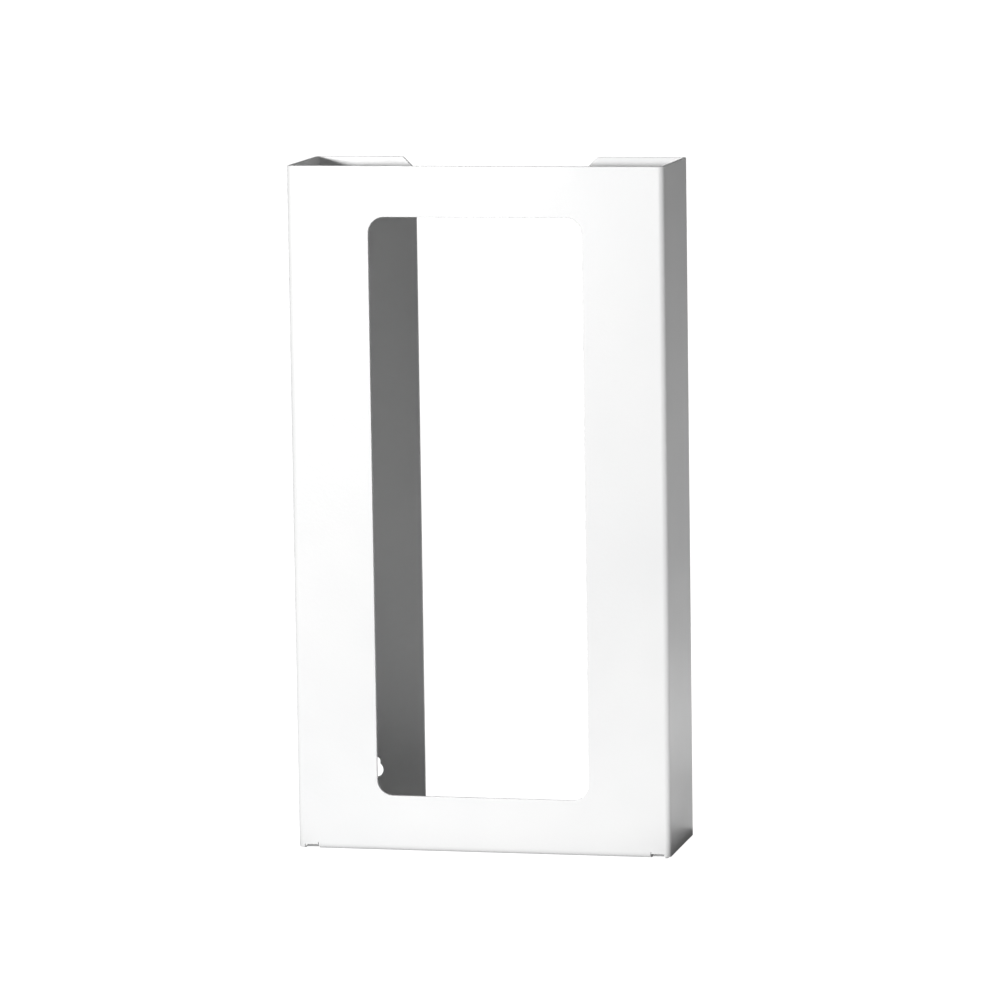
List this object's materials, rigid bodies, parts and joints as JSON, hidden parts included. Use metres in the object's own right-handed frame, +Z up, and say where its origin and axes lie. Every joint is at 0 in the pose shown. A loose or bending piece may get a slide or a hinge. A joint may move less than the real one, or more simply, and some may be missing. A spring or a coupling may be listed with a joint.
{
  "type": "disposable glove dispenser",
  "caption": "Shallow wall dispenser folded from white coated steel sheet: tall window, open top, back flanges with keyholes, shelf below to hold a glove box.",
  "frame": {"origin": "under the middle of the part, at the level of the shelf's lower face", "axes": "+Z up, +X to the right seen from the front, the windowed front panel faces -Y and the flanges that lie on the wall face +Y"},
  "size_m": [0.14, 0.045, 0.2525],
  "materials": {
    "coated_sheet": "satin white powder coat with a fine orange peel"
  },
  "bodies": {
    "root": {"dispenser_body": "coated_sheet"}
  },
  "joints": []
}
